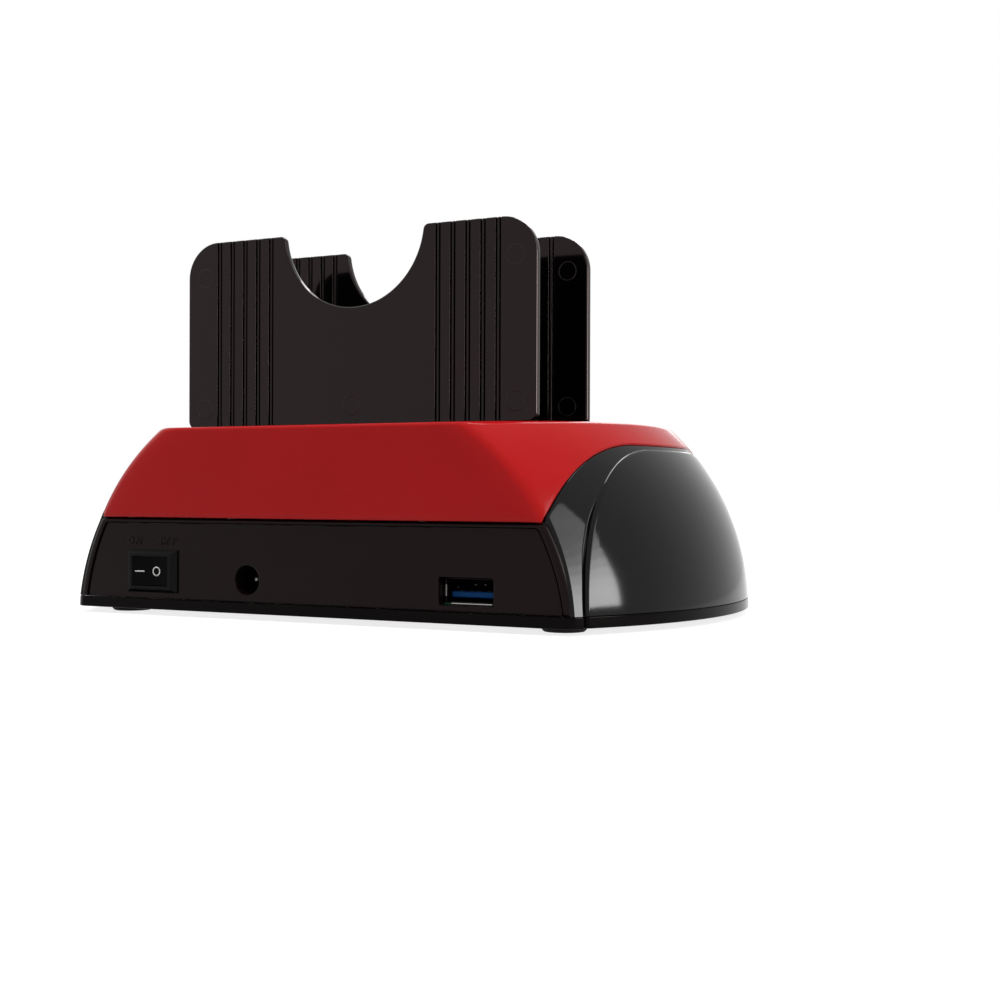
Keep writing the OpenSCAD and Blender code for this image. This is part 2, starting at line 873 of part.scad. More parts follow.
module power_coils() {
  color([0.25, 0.25, 0.26])
    for (p = [[-8, rear_slot_y + 3.7], [3, rear_slot_y + 3.7], [30, rear_slot_y - 10.3]])
      translate([p[0] - 3.5, p[1] - 3.5, board_top]) cube([7, 7, 4]);
}

module capacitors() {
  color([0.2, 0.2, 0.22])
    for (p = [[-16, board_y1 - 6], [-6, board_y1 - 5.5], [3, board_y1 - 5.5], [38, rear_slot_y - 12.3]])
      translate([p[0], p[1], board_top]) cylinder(r = 3.15, h = 7);
}

module crystal() {
  color([0.8, 0.8, 0.8])
    translate([30, rear_slot_y - 24.3, board_top])
      linear_extrude(height = 3.5) round_rect(4.6, 11, 2.2);
}

// Fasteners

// Screw with its head below z = 0
module screw(shank_r, shank_l, head_r, head_h) {
  difference() {
    union() {
      translate([0, 0, -head_h]) cylinder(r = head_r, h = head_h);
      cylinder(r = shank_r, h = shank_l);
    }
    for (a = [0, 90])
      rotate([0, 0, a])
        translate([-head_r * 0.62, -0.3, -head_h - 1]) cube([head_r * 1.24, 0.6, 1 + head_h * 0.5]);
  }
}

module case_screws() {
  color([0.6, 0.6, 0.61])
    at_case_screws()
      translate([0, 0, boss_split - 3]) screw(1.25, 15, 2.6, 1.8);
}

module board_screws() {
  color([0.6, 0.6, 0.61])
    at_board_screws()
      translate([0, 0, board_top])
        rotate([180, 0, 0]) screw(0.9, board_top - foot_h - 0.6, 2, 1.4);
}

module frame_screws() {
  color([0.6, 0.6, 0.61])
    at_frame_screws()
      translate([0, 0, ear_z]) screw(1.05, 6.5, 2.2, 1.5);
}

base_tray();
rubber_feet();
rear_panel();
front_panel();
top_cover();
end_cap_left();
end_cap_right();
bay_frame();
support_plate_rear();
support_plate_front();
circuit_board();
drive_socket_rear();
drive_socket_front();
socket_contacts_rear();
socket_contacts_front();
usb_shell();
usb_insulator();
usb_contacts();
dc_inlet_body();
dc_inlet_pin();
switch_body();
switch_rocker();
switch_terminals();
switch_leads();
backup_button();
tact_plunger();
tact_switch();
indicator_lamps();
lamp_leads();
bridge_chip();
driver_chips();
power_coils();
capacitors();
crystal();
case_screws();
board_screws();
frame_screws();
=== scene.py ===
"""Looks for a two-bay hard drive docking station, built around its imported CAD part."""
import math

import bmesh
import bpy
import numpy as np
from mathutils import Matrix, Vector
from mathutils.geometry import tessellate_polygon


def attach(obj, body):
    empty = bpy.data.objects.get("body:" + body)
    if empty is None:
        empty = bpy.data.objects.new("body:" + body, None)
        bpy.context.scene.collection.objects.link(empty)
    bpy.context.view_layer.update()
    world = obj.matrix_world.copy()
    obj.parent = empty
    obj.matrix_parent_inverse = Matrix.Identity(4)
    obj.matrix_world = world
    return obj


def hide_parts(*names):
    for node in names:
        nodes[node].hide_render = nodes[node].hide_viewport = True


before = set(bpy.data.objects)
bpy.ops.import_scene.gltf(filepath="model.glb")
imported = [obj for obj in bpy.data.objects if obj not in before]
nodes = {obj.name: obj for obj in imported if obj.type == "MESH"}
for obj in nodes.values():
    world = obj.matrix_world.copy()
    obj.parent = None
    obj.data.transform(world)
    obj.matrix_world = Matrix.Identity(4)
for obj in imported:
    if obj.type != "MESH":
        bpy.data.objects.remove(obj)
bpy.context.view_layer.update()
MM = 0.001

# Sizes of the body in mm, in the CAD frame
AXIS, END_C, END_R, END_Z = 6.5, 27.9, 63.6, 0.5
COVER_Y, COVER_Z0 = 54.7, 24.0
DECK_Z, DECK_R = 47.1, 1265.6
DECK_UNDER = 43.7
OPEN_X, OPEN_Y0, OPEN_Y1, OPEN_R = 53.3, -26.0, 35.7, 3.2
RIM_TOP = 4.1
RIM_Y, RIM_Z0 = 55.1, 1.5
CAP_Y, PANEL_Y, PANEL_FLAT, PANEL_TOP = 53.1, 54.3, 53.9, 23.8
ARCH_R, ARCH_FLAT, ARCH_C = 46.0, 18.0, -4.5
RED_R, RED_FLAT, RED_C = 46.2, 18.2, -4.5
CROWN_R, CROWN_FLAT, CROWN_C = 37.2, 13.2, 3.4
GROOVE_W, GROOVE_D = 1.1, 1.0

# Places of the ports, the switch, the front parts, the feet and the plates
USB_X, USB_Z = -42.2, 8.7
INLET_X, INLET_Z = 16.7, 9.4
SWITCH_X, SWITCH_Y, SWITCH_Z, ROCKER_TILT = 45.0, 53.3, 10.8, 9.0
FRONT_Z, LAMP_XS = 12.6, (-18.0, -26.0)
FOOT_X, FOOT_Y, FOOT_R = 61.0, 43.0, 5.1
PLATE_FOOT, PLATE_TOP, PLATE_THICK = 46.6, 94.2, 2.2
REAR_PLATE_Y, FRONT_PLATE_Y = 34.5, 5.6

# Points closer than this, in metres, are one point; shorter edges are dropped
JOIN_WITHIN, DROP_UNDER = 1e-7, 1e-8

# Scales of the noise in the finishes, per metre
CLOUD_SCALE, FINE_SCALE, GRAIN_SCALE, WAVE_SCALE = 55.0, 900.0, 2500.0, 32.0


# Node material helpers

def new_material(name):
    """Empty node material with a Principled shader."""
    mat = bpy.data.materials.new(name)
    mat.use_nodes = True
    tree = mat.node_tree
    tree.nodes.clear()
    out = tree.nodes.new("ShaderNodeOutputMaterial")
    bsdf = tree.nodes.new("ShaderNodeBsdfPrincipled")
    tree.links.new(bsdf.outputs["BSDF"], out.inputs["Surface"])
    return mat, tree, bsdf


def node(tree, kind, **values):
    """New node, with values for its inputs or its settings."""
    n = tree.nodes.new(kind)
    for key, value in values.items():
        if key in n.inputs:
            n.inputs[key].default_value = value
        else:
            setattr(n, key, value)
    return n


def noise(tree, coord, scale, detail=4.0, rough=0.55):
    n = node(tree, "ShaderNodeTexNoise", Scale=scale, Detail=detail, Roughness=rough)
    tree.links.new(coord, n.inputs["Vector"])
    return n.outputs["Fac"]


def ramp(tree, fac, low, high, to_low, to_high):
    """Maps one range of values to another."""
    n = node(tree, "ShaderNodeMapRange")
    n.inputs["From Min"].default_value = low
    n.inputs["From Max"].default_value = high
    n.inputs["To Min"].default_value = to_low
    n.inputs["To Max"].default_value = to_high
    tree.links.new(fac, n.inputs["Value"])
    return n.outputs["Result"]


def mix_colour(tree, fac, a, b):
    n = node(tree, "ShaderNodeMix", data_type="RGBA")
    tree.links.new(fac, n.inputs["Factor"])
    n.inputs[6].default_value = (*a, 1.0)
    n.inputs[7].default_value = (*b, 1.0)
    return n.outputs[2]


def plastic(name, colour, tint, rough, spec=0.5, grain=0.0, wave=0.0, smudge=0.06, metal=0.0,
            shine=(1.0, 1.0, 1.0)):
    """Moulded finish: mottled colour, uneven roughness, fine grain and a slow ripple."""
    mat, tree, bsdf = new_material(name)
    link = tree.links.new
    coord = node(tree, "ShaderNodeTexCoord").outputs["Object"]
    cloud = noise(tree, coord, CLOUD_SCALE, 5.0)
    fine = noise(tree, coord, FINE_SCALE, 3.0)
    mottle = mix_colour(tree, ramp(tree, cloud, 0.35, 0.65, 0.0, 1.0), colour, tint)
    link(mottle, bsdf.inputs["Base Color"])
    add = node(tree, "ShaderNodeMath", operation="ADD")
    wide, narrow = smudge * 0.5, smudge * 0.25
    link(ramp(tree, cloud, 0.3, 0.7, rough - wide, rough + wide), add.inputs[0])
    link(ramp(tree, fine, 0.3, 0.7, -narrow, narrow), add.inputs[1])
    link(add.outputs[0], bsdf.inputs["Roughness"])
    bsdf.inputs["Specular IOR Level"].default_value = spec
    bsdf.inputs["Specular Tint"].default_value = (*shine, 1.0)
    bsdf.inputs["Metallic"].default_value = metal
    last = None
    if grain:
        last = node(tree, "ShaderNodeBump", Strength=grain, Distance=0.00005)
        link(noise(tree, coord, GRAIN_SCALE, 2.0), last.inputs["Height"])
    if wave:
        slow = node(tree, "ShaderNodeBump", Strength=wave, Distance=0.0004)
        link(noise(tree, coord, WAVE_SCALE, 1.0), slow.inputs["Height"])
        if last:
            link(last.outputs["Normal"], slow.inputs["Normal"])
        last = slow
    if last:
        link(last.outputs["Normal"], bsdf.inputs["Normal"])
    return mat


red = plastic("cover_red", (0.415, 0.0060, 0.0068), (0.395, 0.0056, 0.0064), 0.15,
              spec=0.10, wave=0.02, smudge=0.03)
panel_black = plastic("panel_black", (0.0052, 0.0026, 0.0025), (0.0044, 0.0022, 0.0021), 0.30,
                      spec=0.105, grain=0.08, shine=(1.0, 0.80, 0.80))
tray_black = plastic("tray_black", (0.0012, 0.0011, 0.0011), (0.0010, 0.0009, 0.0009), 0.12,
                     spec=0.045, grain=0.03, shine=(1.0, 0.86, 0.84))
cap_smoke = plastic("cap_smoke", (0.0032, 0.0032, 0.0033), (0.0026, 0.0026, 0.0027), 0.08,
                    spec=0.16, wave=0.012, smudge=0.03)
plate_black = plastic("plate_black", (0.0007, 0.0006, 0.0006), (0.0006, 0.0005, 0.0005), 0.07,
                      spec=0.265, wave=0.006, smudge=0.02, shine=(1.0, 0.75, 0.75))
frame_black = plastic("frame_black", (0.0060, 0.0056, 0.0054), (0.0050, 0.0046, 0.0045), 0.42,
                      spec=0.2, grain=0.25)
switch_black = plastic("switch_black", (0.0018, 0.0016, 0.0016), (0.0014, 0.0012, 0.0012), 0.26,
                       spec=0.075, grain=0.06)
rocker_black = plastic("rocker_black", (0.0007, 0.0007, 0.0007), (0.0005, 0.0005, 0.0005), 0.16,
                       spec=0.035)
rubber = plastic("foot_rubber", (0.014, 0.014, 0.014), (0.011, 0.011, 0.011), 0.75,
                 spec=0.2, grain=0.4)
board_green = plastic("board_green", (0.010, 0.085, 0.030), (0.008, 0.070, 0.026), 0.35,
                      spec=0.4, grain=0.1)
socket_black = plastic("socket_black", (0.016, 0.016, 0.016), (0.012, 0.012, 0.012), 0.45,
                       spec=0.4, grain=0.1)
gold = plastic("contact_gold", (0.75, 0.50, 0.16), (0.68, 0.45, 0.14), 0.25, metal=1.0)
steel = plastic("port_steel", (0.62, 0.60, 0.57), (0.55, 0.53, 0.50), 0.24, metal=1.0, grain=0.05)
blue = plastic("port_blue", (0.002, 0.058, 0.215), (0.0018, 0.050, 0.19), 0.42,
               spec=0.1, grain=0.05)
# Brighter steel than the shell, for the port's lower lip: painted highlight on that edge
lip_steel_painted_highlight = plastic("lip_steel_painted_highlight", (0.42, 0.41, 0.39), (0.36, 0.35, 0.33), 0.30,
                    metal=1.0, grain=0.05)
# Near-black with hardly any gloss, for the power inlet body and the port's back block: painted
# shade deep in their holes
inlet_painted_shade_black = plastic("inlet_painted_shade_black", (0.0009, 0.0009, 0.0009), (0.0007, 0.0007, 0.0007), 0.6,
                      spec=0.02)
# Near-black steel for the port's shell: painted shade, a shaded copy of the lip steel
shell_painted_shade = plastic("shell_painted_shade", (0.014, 0.013, 0.013), (0.011, 0.010, 0.010), 0.5,
                     metal=1.0, grain=0.1)
# Much darker than the gold contacts: painted shade on the contacts inside the port
contact_painted_shade = plastic("contact_painted_shade", (0.050, 0.042, 0.030), (0.042, 0.035, 0.025), 0.4, metal=1.0)
lead_red = plastic("lead_red", (0.33, 0.015, 0.015), (0.28, 0.012, 0.012), 0.4)
button_grey = plastic("button_grey", (0.055, 0.055, 0.056), (0.048, 0.048, 0.049), 0.4, grain=0.2)
coil_grey = plastic("coil_grey", (0.06, 0.06, 0.062), (0.045, 0.045, 0.047), 0.5, grain=0.2)
# Darker than the other steels: painted shade on the inlet pin and the port's springs deep in their
# holes
pin_steel_painted_shade = plastic("pin_steel_painted_shade", (0.20, 0.19, 0.18), (0.16, 0.15, 0.145), 0.38,
                    metal=1.0, grain=0.1)
screw_steel = plastic("screw_steel", (0.42, 0.41, 0.40), (0.33, 0.32, 0.31), 0.32,
                      metal=1.0, grain=0.1)
mark_white = plastic("mark_white", (0.72, 0.72, 0.70), (0.66, 0.66, 0.64), 0.5, spec=0.3)
lamp = plastic("lamp_clear", (0.62, 0.72, 0.66), (0.55, 0.66, 0.60), 0.12, spec=0.5)
lamp_shader = lamp.node_tree.nodes["Principled BSDF"]
lamp_shader.inputs["Transmission Weight"].default_value = 0.55

# Finish of each CAD node, also of those that a piece stands in for
FINISHES = {
    "base_tray": tray_black, "rubber_feet": rubber, "rear_panel": panel_black,
    "front_panel": panel_black, "top_cover": red, "end_cap_left": cap_smoke,
    "end_cap_right": cap_smoke, "bay_frame": frame_black, "support_plate_rear": plate_black,
    "support_plate_front": plate_black, "circuit_board": board_green,
    "drive_socket_rear": socket_black, "drive_socket_front": socket_black,
    "socket_contacts_rear": gold, "socket_contacts_front": gold, "usb_shell": shell_painted_shade,
    "usb_insulator": blue, "usb_contacts": contact_painted_shade, "dc_inlet_body": inlet_painted_shade_black,
    "dc_inlet_pin": pin_steel_painted_shade, "switch_body": switch_black, "switch_rocker": rocker_black,
    "switch_terminals": steel, "switch_leads": lead_red, "backup_button": button_grey,
    "tact_plunger": steel, "tact_switch": socket_black, "indicator_lamps": lamp,
    "lamp_leads": steel, "bridge_chip": socket_black, "driver_chips": socket_black,
    "power_coils": coil_grey, "capacitors": coil_grey, "crystal": steel,
    "case_screws": screw_steel, "board_screws": screw_steel, "frame_screws": screw_steel,
}
for name, mat in FINISHES.items():
    mesh = nodes[name].data
    mesh.materials.clear()
    mesh.materials.append(mat)


def weigh_normals(o, weight):
    """Lets large faces set the shading of the small ones beside them."""
    wn = o.modifiers.new("normals", "WEIGHTED_NORMAL")
    wn.keep_sharp = False
    wn.weight = weight


def soften(name, width):
    """Rounds the sharp edges of a CAD node with modifiers only."""
    o = nodes[name]
    weld = o.modifiers.new("weld", "WELD")
    weld.merge_threshold = 2e-6
    bevel = o.modifiers.new("bevel", "BEVEL")
    bevel.width = width * MM
    bevel.segments = 3
    bevel.limit_method = "ANGLE"
    bevel.angle_limit = math.radians(28.0)
    bevel.use_clamp_overlap = True
    bevel.harden_normals = False
    weigh_normals(o, 80)


# Structured surfaces

def mesh_piece(name, points, faces, mat, same_way=False):
    """Object from points in mm; same_way turns all its faces outward."""
    mesh = bpy.data.meshes.new(name)
    mesh.from_pydata([[v * MM for v in p] for p in points], [], faces)
    bm = bmesh.new()
    bm.from_mesh(mesh)
    bmesh.ops.remove_doubles(bm, verts=bm.verts, dist=JOIN_WITHIN)
    bmesh.ops.dissolve_degenerate(bm, edges=bm.edges, dist=DROP_UNDER)
    if same_way:
        bmesh.ops.recalc_face_normals(bm, faces=bm.faces)
    bm.to_mesh(mesh)
    bm.free()
    mesh.shade_smooth()
    mesh.materials.append(mat)
    o = bpy.data.objects.new(name, mesh)
    bpy.context.scene.collection.objects.link(o)
    return o


def grid_mesh(name, points, mat, loop=False, flip=False):
    """Quads over an array of points in mm; loop joins the last column to the first."""
    pts = np.asarray(points, float)
    rows, cols = pts.shape[:2]
    faces = []
    for i in range(rows - 1):
        for j in range(cols if loop else cols - 1):
            k = (j + 1) % cols
            quad = [i * cols + j, i * cols + k, (i + 1) * cols + k, (i + 1) * cols + j]
            faces.append(quad[::-1] if flip else quad)
    return mesh_piece(name, pts.reshape(-1, 3).tolist(), faces, mat)


def arc(count):
    """Angles from 0 to a quarter turn."""
    return np.linspace(0.0, math.pi / 2, count)


def smooth_step(t):
    """Goes from 0 to 1 as t does, with level ends."""
    t = np.clip(t, 0.0, 1.0)
    return t * t * (3 - 2 * t)


def end_x(y, z, off=0.0):
    """X of the rounded end face at y and z, for the +X end."""
    rho = END_C + np.sqrt(np.maximum((END_R + off) ** 2 - (z - END_Z) ** 2, 0.0))
    return -AXIS + np.sqrt(np.maximum(rho ** 2 - y ** 2, 0.0))


def deck_height(y):
    """Z of the slightly arched deck at y."""
    return DECK_Z - DECK_R + np.sqrt(DECK_R ** 2 - y ** 2)


def round_max(a, b, r):
    """Signed distance of two faces that meet in an edge rounded by r."""
    pa, pb = np.maximum(a + r, 0.0), np.maximum(b + r, 0.0)
    return np.sqrt(pa ** 2 + pb ** 2) - r + np.minimum(np.maximum(a + r, b + r), 0.0)


def cover_distance(p):
    """Signed distance from the outer face of the cover, with its edges rounded."""
    x, y, z = np.abs(p[..., 0]), np.abs(p[..., 1]), p[..., 2]
    rho = np.sqrt((x + AXIS) ** 2 + y ** 2)
    d_end = np.sqrt((rho - END_C) ** 2 + (z - END_Z) ** 2) - END_R
    d_face = y - COVER_Y
    d_deck = z - deck_height(y)
    # The deck's edge is rounded less along the ends than along the front and rear
    r_upright, r_long, r_end = 1.7, 0.9, 0.7
    r_deck = r_long + (r_end - r_long) * smooth_step((d_end - d_face) / 4.0 + 0.5)
    return round_max(round_max(d_end, d_face, r_upright), d_deck, r_deck)


def slope(p, distance):
    """Gradient of a distance at each point."""
    e = 1e-4
    return np.stack([(distance(p + step) - distance(p - step)) / (2 * e)
                     for step in np.eye(3) * e], -1)


def settle(p, distance, steps=12):
    """Moves points onto the surface where distance is zero."""
    for _ in range(steps):
        d = distance(p)
        g = slope(p, distance)
        g2 = np.maximum((g ** 2).sum(-1, keepdims=True), 1e-6)
        p = p - d[..., None] * g / g2
    return p


def red_arch(y):
    """Lowest z of the cover's end face at y, along the arch over the end cap."""
    ay = np.abs(y)
    past = np.maximum(ay - RED_FLAT, 0)
    shoulder = RED_C + np.sqrt(np.maximum(RED_R ** 2 - past ** 2, 0.0))
    return np.where(ay <= RED_FLAT, RED_C + RED_R, shoulder)


def build_cover():
    """Cover as one sheet: opening wall, lip, deck, outer walls and a rounded lower edge."""
    # Columns of points stand close together at the upright corners
    near = np.array([0.0, 0.18, 0.36, 0.54, 0.72, 0.88, 1.02, 1.12, 1.35])
    t_rear, t_side = 0.95, 0.78
    far_rear = np.linspace(0.0, 1.0, 15)[:-1]
    far_side = np.linspace(1.0, 0.0, 34)
    quarter = [("rear", g, None) for g in far_rear]
    quarter += [("rear", None, k * t_rear) for k in near[:0:-1]]
    quarter += [("edge", None, 0.0)]
    quarter += [("side", None, k * t_side) for k in near[1:]]
    quarter += [("side", g, None) for g in far_side[1:]]

    def side_y(g, d):
        return (COVER_Y - near[-1] * t_side) * g if d is None else COVER_Y - d

    def wall(col, z, sx, sy):
        kind, g, d = col
        xc = end_x(COVER_Y, z)
        if kind == "rear":
            x = (xc - near[-1] * t_rear) * g if d is None else xc - d
            return np.stack([sx * x, sy * COVER_Y + 0 * z, z], -1)
        if kind == "edge":
            return np.stack([sx * xc, sy * COVER_Y + 0 * z, z], -1)
        y = side_y(g, d)
        return np.stack([sx * end_x(y, z), sy * y + 0 * z, z], -1)

    cols = []
    for sx, sy, order in ((1, 1, 1), (1, -1, -1), (-1, -1, 1), (-1, 1, -1)):
        cols += [(c, sx, sy) for c in quarter[::order][:-1]]

    deck_near = np.array([1.3, 1.1, 1.0, 0.86, 0.7, 0.52, 0.34, 0.17, 0.0])
    wall_near = deck_near[::-1][1:]
    lip, lip_rows, opening_wall, edge_step = 0.35, 5, (DECK_UNDER, 44.6), 1.15
    grid = []
    for c, sx, sy in cols:
        kind, g, d = c
        y_edge = side_y(g, d) if kind == "side" else COVER_Y
        z_edge = float(deck_height(y_edge))
        e = wall(c, np.array([z_edge]), sx, sy)[0]
        # Nearest point on the outline of the deck opening
        ox = np.clip(e[0], -OPEN_X + OPEN_R, OPEN_X - OPEN_R)
        oy = np.clip(e[1], OPEN_Y0 + OPEN_R, OPEN_Y1 - OPEN_R)
        v = np.array([e[0] - ox, e[1] - oy])
        n = v / max(np.linalg.norm(v), 1e-9)
        o = np.array([ox, oy]) + n * OPEN_R
        span = np.linalg.norm(e[:2] - o)
        column = [[o[0], o[1], z] for z in opening_wall]
        for a in arc(lip_rows):
            q = o + n * lip * (1 - math.cos(a))
            column.append([q[0], q[1], float(deck_height(o[1])) - lip + lip * math.sin(a)])
        a0, a1 = lip + 0.08, span - deck_near[0] * edge_step
        for t in np.linspace(0, 1, 9)[:-1]:
            q = o + n * (a0 + (a1 - a0) * t)
            column.append([q[0], q[1], float(deck_height(q[1]))])
        for k in deck_near:
            q = o + n * (span - k * edge_step)
            column.append([q[0], q[1], float(deck_height(q[1]))])
        corner_rise = 0.4
        corner = float(red_arch(np.array(COVER_Y))) + corner_rise
        if kind == "side":
            rise = corner_rise * smooth_step(1 - (COVER_Y - y_edge) / 2.2)
            low = float(red_arch(np.array(y_edge)) + rise)
        else:
            s = 0.0 if d is None else max(1 - d / 1.3, 0.0)
            low = COVER_Z0 + (corner - COVER_Z0) * (1 - math.sqrt(max(1 - s * s, 0)))
        zs = [z_edge - k * edge_step for k in wall_near]
        z0, z1 = zs[-1], low + lip
        zs += [z0 + (z1 - z0) * t for t in np.linspace(0, 1, 21)[1:]]
        column += wall(c, np.array(zs), sx, sy).tolist()
        grid.append(column)
    pts = np.array(grid).transpose(1, 0, 2)
    fixed = len(opening_wall) + lip_rows
    pts[fixed:] = settle(pts[fixed:], cover_distance)
    # Rounded lower edge and a short return inside
    top, end = pts[-2], pts[-1]
    down = end - top
    down /= np.linalg.norm(down, axis=-1, keepdims=True)
    grad = slope(end, cover_distance)
    grad /= np.linalg.norm(grad, axis=-1, keepdims=True)
    rows = [pts]
    for a in arc(5)[1:]:
        rows.append((end + lip * (math.sin(a) * down - (1 - math.cos(a)) * grad))[None])
    half_way, inner, up = 0.9, 1.9, 2.5
    for depth in (half_way, inner):
        rows.append((end + lip * down - depth * grad)[None])
    rows.append((end - inner * grad - up * down)[None])
    pts = np.concatenate(rows, 0)
    return grid_mesh("cover_shell", pts, red, loop=True, flip=True)


def arch_distance(y, z, r, flat, c):
    """How far a point lies under an arch with a flat top and round shoulders."""
    ay = np.abs(y)
    shoulder = r - np.sqrt((ay - flat) ** 2 + np.maximum(z - c, 0) ** 2)
    return np.where(ay <= flat, c + r - z, shoulder)


def lean(z):
    """0 under the cover, 1 at the foot of a flank."""
    return np.clip((23.0 - z) / 19.0, 0.0, 1.0)


def flare(y, z):
    """How far a flank stands out near its upright corner, in mm along its normal."""
    return 1.0 * lean(z) * smooth_step((np.abs(y) - 46.0) / 5.5)


def build_cap(sign, name):
    """End cap as one polar sheet: a crown, a groove round it and a flank out to the arch."""
    psi = np.linspace(0.0, math.pi, 301)
    pole_z, far, no_side = RIM_TOP + 0.1, 80.0, 60.0

    def reach(r, flat, c, side):
        """Distance from the pole to the arch along each direction."""
        lo, hi = np.zeros_like(psi), np.full_like(psi, far)
        for _ in range(60):
            mid = (lo + hi) / 2
            y, z = mid * np.cos(psi), pole_z + mid * np.sin(psi)
            to_side = side + 1.1 * lean(z) - np.abs(y)
            d = np.minimum(arch_distance(y, z, r, flat, c), to_side)
            lo, hi = np.where(d > 0, mid, lo), np.where(d > 0, hi, mid)
        return lo

    outer = reach(ARCH_R, ARCH_FLAT, ARCH_C, CAP_Y)
    crown = reach(CROWN_R, CROWN_FLAT, CROWN_C, no_side)
    groove = reach(CROWN_R + GROOVE_W, CROWN_FLAT, CROWN_C, no_side)
    wide = groove - crown + 0.75 * lean(RIM_TOP + groove * np.sin(psi))
    crown = np.minimum(crown, outer - 0.9)
    # A deep groove beside the panels turns into a soft step over the top of the crown
    low = smooth_step((33.0 - RIM_TOP - crown * np.sin(psi)) / 10.0)
    groove = np.minimum(crown + wide * low + 0.12 * (1 - low), outer - 0.35)
    wide = groove - crown
    sink = 0.3 * (1 - low)
    deep = GROOVE_D * low + sink
    lip, edge = 0.55, 0.18
    # Each row of points: distance from the pole, and height over the end face
    rows = []
    for t in (0.0, 0.02, 0.06, 0.12, 0.2, 0.3, 0.4, 0.5, 0.6, 0.7, 0.8, 0.9):
        rows.append((t * (crown - lip - 1.5), 0.0))
    for d in (1.5, 0.9, 0.45, 0.15):
        rows.append((crown - lip - d, 0.0))
    for a in arc(8):
        drop = np.minimum(lip, 0.95 * deep) * (1 - math.cos(a))
        rows.append((crown - lip * (1 - math.sin(a)), -drop))
    n_crown = len(rows)
    rows.append((crown + 0.03 * wide, -0.97 * deep))
    rows.append((crown + 0.08 * wide, -deep))
    rows.append((groove - 0.06 * wide, -deep))
    rows.append((groove - 0.02 * wide, -sink - 0.8 * (deep - sink)))
    soft = np.minimum(0.2, 0.3 * (outer - groove))
    for a in np.linspace(math.pi / 2, 0, 5):
        rows.append((groove + soft * (1 - math.sin(a)), -sink - low * soft * (1 - math.cos(a))))
    trim = np.minimum(edge, 0.4 * (outer - groove - soft))
    for t in (0.04, 0.12, 0.25, 0.4, 0.55, 0.7, 0.85, 0.95, 1.0):
        a0, a1 = groove + soft, outer - trim
        rows.append((a0 + (a1 - a0) * t, -sink))
    for a in arc(6)[1:]:
        rows.append((outer - trim * (1 - math.sin(a)), -sink - trim * (1 - math.cos(a))))
    for d in (0.8, 1.8):
        rows.append((outer, -sink - d))
    pts = []
    for k, (rad, off) in enumerate(rows):
        rad = np.broadcast_to(rad, psi.shape)
        y, z = rad * np.cos(psi), pole_z + rad * np.sin(psi)
        out = flare(y, z) if k > n_crown + 2 else 0.0
        x = end_x(y, z, np.asarray(off) + out)
        pts.append(np.stack([sign * x, y, z], -1))
    return grid_mesh(name, np.array(pts), cap_smoke, flip=(sign > 0))


class Shape:
    """Collects loops of points in mm and the faces between them."""

    def __init__(self):
        self.points, self.faces = [], []

    def loop(self, pts):
        start = len(self.points)
        self.points.extend(tuple(float(v) for v in p) for p in pts)
        return list(range(start, len(self.points)))

    def bridge(self, a, b):
        n = len(a)
        for i in range(n):
            j = (i + 1) % n
            self.faces.append((a[i], a[j], b[j], b[i]))

    def skin(self, loops):
        """Bridges each loop to the next and returns their indices."""
        rings = [self.loop(p) for p in loops]
        for a, b in zip(rings[:-1], rings[1:]):
            self.bridge(a, b)
        return rings

    def fill(self, loops):
        """Closes a flat outline, with the other loops as holes."""
        flat = [i for ring in loops for i in ring]
        for tri in tessellate_polygon([[Vector(self.points[i]) for i in ring] for ring in loops]):
            self.faces.append(tuple(flat[k] for k in tri))

    def piece(self, name, mat):
        o = mesh_piece(name, self.points, self.faces, mat, same_way=True)
        weigh_normals(o, 90)
        return o


def rect_loop(x, z, w, h, r, grow, steps=5):
    """Rounded rectangle in X and Z, anticlockwise, made larger by grow."""
    w, h, r = w / 2 + grow, h / 2 + grow, max(r + grow, 0.05)
    pts = []
    corners = ((w - r, h - r, 0), (r - w, h - r, 90), (r - w, r - h, 180), (w - r, r - h, 270))
    for cx, cz, a0 in corners:
        for a in np.linspace(a0, a0 + 90, steps):
            t = math.radians(a)
            pts.append((x + cx + r * math.cos(t), z + cz + r * math.sin(t)))
    return pts


def circle_loop(x, z, r, grow, steps=40):
    """Circle in X and Z, anticlockwise, made larger by grow."""
    turn = np.linspace(0, 2 * math.pi, steps + 1)[:-1]
    return [(x + (r + grow) * math.cos(t), z + (r + grow) * math.sin(t)) for t in turn]


def panel_loop(inset, y, sy):
    """Outline of a panel at one depth; only its sides and top come in by inset."""
    z0, z1 = RIM_TOP + 0.08, PANEL_TOP - 0.42 * inset
    r, upright, turn = 0.7, 26, arc(6)[1:]
    zs = np.concatenate([np.linspace(z0, z1 - r, upright), z1 - r + r * np.sin(turn)])
    back = np.concatenate([np.zeros(upright), r * (1 - np.cos(turn))])
    xs = end_x(PANEL_Y + 0 * zs, zs, lean(zs)) - inset - back
    side = list(zip(xs, zs))
    top = [(x, z1) for x in np.linspace(xs[-1], -xs[-1], 42)[1:-1]]
    bottom = [(x, z0) for x in np.linspace(-xs[0], xs[0], 42)[1:-1]]
    ring = side + top + [(-x, z) for x, z in side[::-1]] + bottom
    return [(x, sy * y, z) for x, z in ring]


